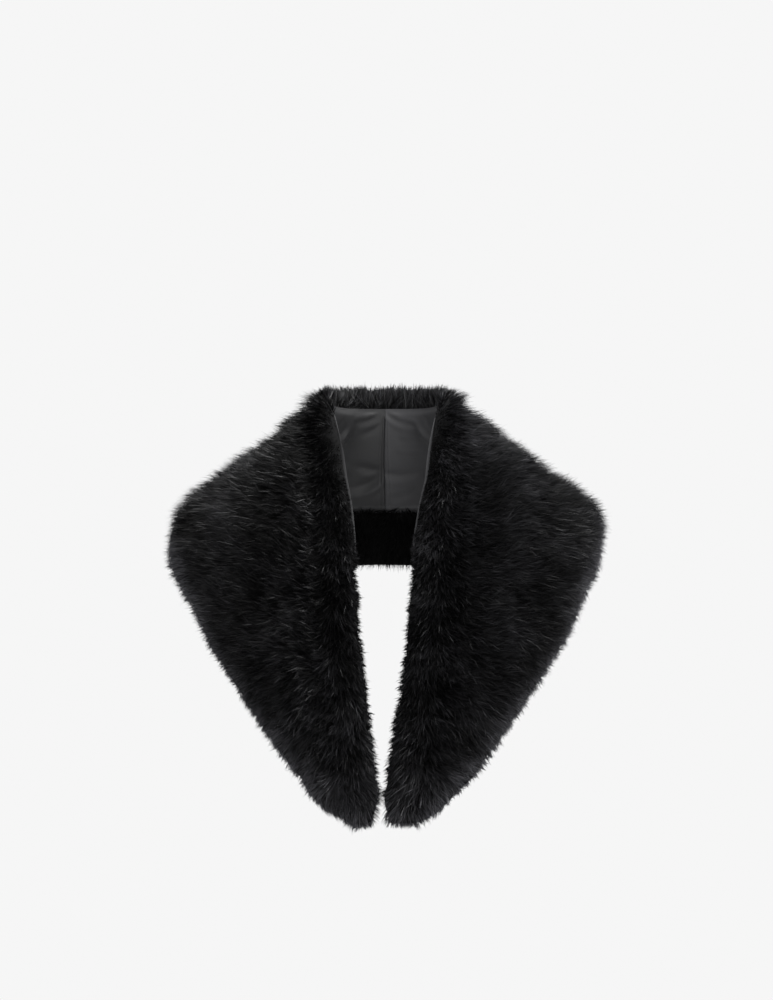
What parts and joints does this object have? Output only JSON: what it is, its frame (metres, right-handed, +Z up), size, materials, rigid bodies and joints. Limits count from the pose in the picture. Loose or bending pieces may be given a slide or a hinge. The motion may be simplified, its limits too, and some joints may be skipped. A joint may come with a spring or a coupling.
{
  "type": "fur collar wrap",
  "caption": "Long-pile fur collar wrap in its worn, hollow form: stands round the neck, lies over the shoulders and falls to a tip at each side of the front. Lined.",
  "frame": {"origin": "centre of the neck base, inside the neck opening, where the wearer's neck and shoulders hold the wrap", "axes": "+Z up, -Y towards the wearer's front, +X across the shoulders to the viewer's right in front"},
  "size_m": [0.4534, 0.2705, 0.4434],
  "materials": {
    "fur": "long black pile, soft sheen",
    "lining": "dark grey satin, soft gloss"
  },
  "bodies": {
    "root": {"fur_left": "fur", "fur_right": "fur", "back_hem_facing": "fur", "lining_left": "lining", "lining_right": "lining"}
  },
  "joints": []
}
